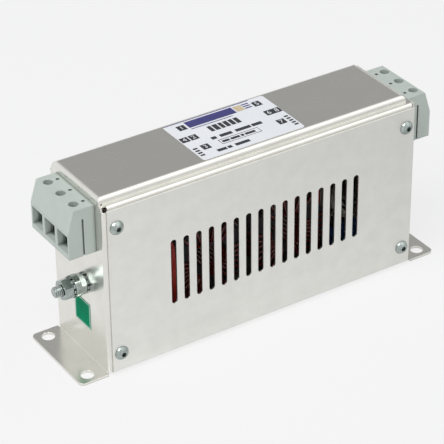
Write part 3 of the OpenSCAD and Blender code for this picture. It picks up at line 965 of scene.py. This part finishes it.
    def group(
        self, material: bpy.types.Material
    ) -> tuple[bpy.types.NodeTree, dict[str, float]]:
        """Builds the node group: one turn, repeated round a core, repeated on both cores.

        Args:
            material: the wire's material.

        Returns:
            The group, and its inputs' values by socket identifier.
        """
        tree = bpy.data.node_groups.new("wound_turns", "GeometryNodeTree")
        tree.interface.new_socket("Geometry", in_out="OUTPUT", socket_type="NodeSocketGeometry")
        inputs = {}
        for name, (kind, value) in self.sizes().items():
            socket = tree.interface.new_socket(name, in_out="INPUT", socket_type=kind)
            inputs[socket.identifier] = value
        given = add(tree, "NodeGroupInput").outputs
        ring = self.around_core(tree, given, self.one_turn(tree, given))
        both = self.on_both_cores(tree, given, ring)
        real = add(tree, "GeometryNodeRealizeInstances", {"Geometry": both})
        soft = add(tree, "GeometryNodeSetShadeSmooth", {"Geometry": real.outputs["Geometry"]})
        dressed = add(
            tree,
            "GeometryNodeSetMaterial",
            {"Geometry": soft.outputs["Geometry"], "Material": material},
        )
        add(tree, "NodeGroupOutput", {"Geometry": dressed.outputs["Geometry"]})
        return tree, inputs

    def build(self, wardrobe: Wardrobe) -> bpy.types.Object:
        """Bakes the group to a mesh and puts it in the windings' place.

        Args:
            wardrobe: the material store.

        Returns:
            The wire's object.
        """
        tree, inputs = self.group(wardrobe.get(ENAMEL))
        maker = bpy.data.objects.new("turn_maker", bpy.data.meshes.new("turn_maker"))
        bpy.context.scene.collection.objects.link(maker)
        modifier = maker.modifiers.new("wound_turns", "NODES")
        modifier.node_group = tree
        for identifier, value in inputs.items():
            modifier[identifier] = value
        baked = maker.evaluated_get(bpy.context.evaluated_depsgraph_get())
        mesh = bpy.data.meshes.new_from_object(baked)
        maker.modifiers.remove(modifier)
        bpy.data.objects.remove(maker)
        mesh.name = "enamelled_wire_turns"
        wire = as_piece("enamelled_wire_turns", mesh)
        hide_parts("phase_windings")
        return wire


@dataclass
class ThreadedStud:
    """The earth stud with a rolled thread cut round its shank."""

    axis_y: float
    axis_z: float
    x_head: float
    x_tip: float
    radius: float = 3.0 * MM
    pitch: float = 1.0 * MM
    depth: float = 0.55 * MM
    head_corner_r: float = 5.77 * MM
    head_len: float = 4.0 * MM
    point_len: float = 0.9 * MM
    point_draft: float = 0.16
    around: int = 28
    rings_per_turn: int = 8

    def radius_at(self, along: float, turn: float, length: float) -> float:
        """Gives the thread's radius at one place.

        Args:
            along: distance from the head.
            turn: share of a turn round the axis.
            length: the shank's length, towards whose end the thread tapers.

        Returns:
            The radius.
        """
        fade = min(1.0, (length - along) / self.point_len)
        phase = (along / self.pitch + turn) % 1.0
        ridge = abs(phase * 2 - 1)
        return (self.radius - self.depth * (1 - ridge)) * (1 - self.point_draft * (1 - fade))

    def shank(self, bm: bmesh.types.BMesh) -> None:
        """Adds the shank as rings of points that follow a helical ridge, closed at both ends.

        Args:
            bm: the mesh being built.
        """
        length = self.x_head - self.x_tip
        rings = int(length / self.pitch * self.rings_per_turn)
        grid = []
        for i in range(rings + 1):
            along = i / rings * length
            row = []
            for k in range(self.around):
                turn = k / self.around
                r = self.radius_at(along, turn, length)
                a = 2 * math.pi * turn
                y, z = self.axis_y + r * math.cos(a), self.axis_z + r * math.sin(a)
                row.append(bm.verts.new((self.x_head - along, y, z)))
            grid.append(row)
        for i in range(rings):
            for k in range(self.around):
                m = (k + 1) % self.around
                bm.faces.new((grid[i][k], grid[i][m], grid[i + 1][m], grid[i + 1][k]))
        bm.faces.new(grid[-1])
        bm.faces.new(list(reversed(grid[0])))

    def head(self, bm: bmesh.types.BMesh) -> None:
        """Adds the hexagon head inside the wall.

        Args:
            bm: the mesh being built.
        """
        head = bmesh.ops.create_cone(
            bm,
            cap_ends=True,
            segments=6,
            radius1=self.head_corner_r,
            radius2=self.head_corner_r,
            depth=self.head_len,
        )
        centre = Matrix.Translation((self.x_head + self.head_len / 2, self.axis_y, self.axis_z))
        onto_axis = centre @ Matrix.Rotation(math.pi / 2, 4, "Y")
        bmesh.ops.transform(bm, matrix=onto_axis, verts=head["verts"])

    def build(self, wardrobe: Wardrobe) -> bpy.types.Object:
        """Builds the stud and puts it in its node's place.

        Args:
            wardrobe: the material store.

        Returns:
            The stud's object.
        """
        bm = bmesh.new()
        self.shank(bm)
        self.head(bm)
        bmesh.ops.recalc_face_normals(bm, faces=bm.faces)
        stud = as_piece("threaded_earth_stud", to_mesh(bm, "threaded_earth_stud"))
        wardrobe.dress(stud, ZINC_PLATE)
        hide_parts("earth_stud")
        return stud


@dataclass(frozen=True)
class SoftBox:
    """A square area lamp aimed at the case."""

    name: str
    at: tuple[float, float, float]
    size: float
    watts: float
    target: tuple[float, float, float] = (0, 0, 0.05)

    def build(self) -> None:
        """Adds the lamp to the scene."""
        data = bpy.data.lights.new(self.name, "AREA")
        data.size = self.size
        data.energy = self.watts
        lamp = bpy.data.objects.new(self.name, data)
        bpy.context.scene.collection.objects.link(lamp)
        lamp.location = self.at
        aim = Vector(self.target) - Vector(self.at)
        lamp.rotation_euler = aim.to_track_quat("-Z", "Y").to_euler()


@dataclass
class Studio:
    """Floor, lamps, world and camera."""

    background: str = "f6f6f6"
    floor_colour: str = "f3f3f3"
    floor_size: float = 6.0
    floor_drop: float = 0.2 * MM
    floor_glow_share: float = 0.82
    glow_colour: str = "f4f5f7"
    glow_strength: float = 0.45
    dim_towards: tuple[float, float, float] = (0.54, 0.84, 0.0)
    lamps: tuple[SoftBox, ...] = (
        SoftBox("key_left_high", (-1.2, -0.5, 1.9), 1.4, 30.0),
        SoftBox("fill_right_high", (0.7, -0.9, 2.0), 2.4, 9.0),
    )
    camera_at: tuple[float, float, float] = (-0.50595, -0.7695, 0.6202)
    camera_turn: tuple[float, float, float] = (57.9969, 0.5093, -33.1410)
    lens_mm: float = 169.85
    sensor_mm: float = 36.0
    view_end: float = 20.0

    def plain_view(self, tree: bpy.types.NodeTree) -> bpy.types.NodeSocket:
        """Tells rays that show the background, straight or in metal and glass, from light on the case.

        Args:
            tree: the node tree to add to.

        Returns:
            A socket that is 1 for camera, glossy and transmission rays.
        """
        ray = add(tree, "ShaderNodeLightPath").outputs
        mirrored = add(
            tree,
            "ShaderNodeMath",
            {0: ray["Is Camera Ray"], 1: ray["Is Glossy Ray"]},
            operation="MAXIMUM",
        ).outputs["Value"]
        return add(
            tree,
            "ShaderNodeMath",
            {0: mirrored, 1: ray["Is Transmission Ray"]},
            operation="MAXIMUM",
        ).outputs["Value"]

    def sky_strength(self, tree: bpy.types.NodeTree) -> bpy.types.NodeSocket:
        """Adds the sky's strength for reflections: 1 near the horizon, less high up at the back right.

        Args:
            tree: the world's node tree.

        Returns:
            The strength.
        """
        direction = add(tree, "ShaderNodeTexCoord").outputs["Generated"]
        axes = add(tree, "ShaderNodeSeparateXYZ", {"Vector": direction}).outputs
        back_right = add(
            tree,
            "ShaderNodeVectorMath",
            {0: direction, 1: self.dim_towards},
            operation="DOT_PRODUCT",
        ).outputs["Value"]
        height = add(
            tree,
            "ShaderNodeMapRange",
            {"Value": axes["Z"], "From Min": 0.05, "From Max": 0.42},
            interpolation_type="SMOOTHSTEP",
        ).outputs["Result"]
        ceiling = add(
            tree,
            "ShaderNodeMapRange",
            {"Value": back_right, "From Min": 0.42, "From Max": 0.82, "To Min": 1.0, "To Max": 0.40},
            interpolation_type="SMOOTHSTEP",
        ).outputs["Result"]
        return add(
            tree, "ShaderNodeMix", {"Factor": height, "A": 1.0, "B": ceiling}, data_type="FLOAT"
        ).outputs["Result"]

    def world(self) -> None:
        """Builds a pale surround for the camera and reflections, and even light for the rest."""
        world = bpy.data.worlds.new("studio")
        bpy.context.scene.world = world
        world.use_nodes = True
        tree = world.node_tree
        tree.nodes.clear()
        glow = add(
            tree,
            "ShaderNodeBackground",
            {"Color": linear(self.glow_colour), "Strength": self.glow_strength},
        )
        seen = add(
            tree,
            "ShaderNodeBackground",
            {"Color": linear(self.background), "Strength": self.sky_strength(tree)},
        )
        mixed = add(
            tree,
            "ShaderNodeMixShader",
            {0: self.plain_view(tree), 1: glow.outputs["Background"], 2: seen.outputs["Background"]},
        )
        add(tree, "ShaderNodeOutputWorld", {"Surface": mixed.outputs["Shader"]})

    def floor_level(self, tree: bpy.types.NodeTree) -> bpy.types.NodeSocket:
        """Adds the floor's level: 1 to the camera, and in reflections a painted light that fades to the
        right.

        Args:
            tree: the floor's node tree.

        Returns:
            The level.
        """
        place = add(tree, "ShaderNodeTexCoord").outputs["Object"]
        across = add(tree, "ShaderNodeSeparateXYZ", {"Vector": place}).outputs["X"]
        # Painted light: in reflections the floor is painted brighter at the left and dimmer to the right,
        # as if a lamp stood near the left.
        painted_light_falloff = add(
            tree,
            "ShaderNodeMapRange",
            {"Value": across, "From Min": -0.12, "From Max": 0.3, "To Min": 1.0, "To Max": 0.62},
        ).outputs["Result"]
        straight = add(tree, "ShaderNodeLightPath").outputs["Is Camera Ray"]
        return add(
            tree, "ShaderNodeMix", {"Factor": straight, "A": painted_light_falloff, "B": 1.0}, data_type="FLOAT"
        ).outputs["Result"]

    def floor(self) -> None:
        """Builds a pale floor that takes the object's shadow."""
        bpy.ops.mesh.primitive_plane_add(size=self.floor_size, location=(0, 0, -self.floor_drop))
        floor = bpy.context.active_object
        floor.name = "studio_floor"
        mat = bpy.data.materials.new("pale_studio_floor")
        mat.use_nodes = True
        tree = mat.node_tree
        tree.nodes.clear()
        matte = add(tree, "ShaderNodeBsdfDiffuse", {"Color": linear(self.floor_colour)})
        glow = add(
            tree,
            "ShaderNodeEmission",
            {"Color": linear(self.background), "Strength": self.floor_level(tree)},
        )
        share = add(
            tree,
            "ShaderNodeMath",
            {0: self.plain_view(tree), 1: self.floor_glow_share},
            operation="MULTIPLY",
        ).outputs["Value"]
        mixed = add(
            tree,
            "ShaderNodeMixShader",
            {0: share, 1: matte.outputs["BSDF"], 2: glow.outputs["Emission"]},
        )
        add(tree, "ShaderNodeOutputMaterial", {"Surface": mixed.outputs["Shader"]})
        floor.data.materials.append(mat)
        floor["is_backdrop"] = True

    def camera(self) -> None:
        """Adds a long lens that looks down on the front and the line end."""
        data = bpy.data.cameras.new("camera")
        data.sensor_width = self.sensor_mm
        data.lens = self.lens_mm
        data.clip_end = self.view_end
        camera = bpy.data.objects.new("camera", data)
        bpy.context.scene.collection.objects.link(camera)
        camera.location = self.camera_at
        camera.rotation_euler = [math.radians(angle) for angle in self.camera_turn]
        bpy.context.scene.camera = camera

    def build(self) -> None:
        """Sets up the whole studio."""
        self.world()
        self.floor()
        for lamp in self.lamps:
            lamp.build()
        self.camera()
        bpy.context.scene.view_settings.view_transform = "Standard"


def main() -> list[list[float]]:
    """Builds every class in order.
    """
    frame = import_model()
    cad_box = [list(corner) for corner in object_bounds()]
    wardrobe = Wardrobe()
    for name, thing in frame["nodes"].items():
        wardrobe.dress(thing, NODE_FINISH.get(name, ZINC_PLATE))
        LOG.info("dressed %s", name)
    low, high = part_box("rating_label")
    film = LabelFilm(low=Vector(low), high=Vector(high))
    label_print = RatingPrint(
        top=film.top,
        corner=(low[0], high[1]),
        length=high[0] - low[0],
        width=high[1] - low[1],
    )
    low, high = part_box("choke_cores")
    turns = WoundTurns(core_low=Vector(low), core_high=Vector(high))
    low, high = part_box("earth_marker")
    border = MarkerBorder(face_x=low[0], low=(low[1], low[2]), high=(high[1], high[2]))
    low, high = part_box("earth_stud")
    stud = ThreadedStud(
        axis_y=(low[1] + high[1]) / 2,
        axis_z=(low[2] + high[2]) / 2,
        x_head=high[0] - ThreadedStud.head_len,
        x_tip=low[0],
    )
    for maker in (film, label_print, turns, border, stud):
        piece = maker.build(wardrobe)
        LOG.info("built %s with %d faces", piece.name, len(piece.data.polygons))
    Studio().build()
    return cad_box


if __name__ == "__main__":
    logging.basicConfig(level=logging.INFO, format="%(name)s: %(message)s")
    CAD_BOX = main()
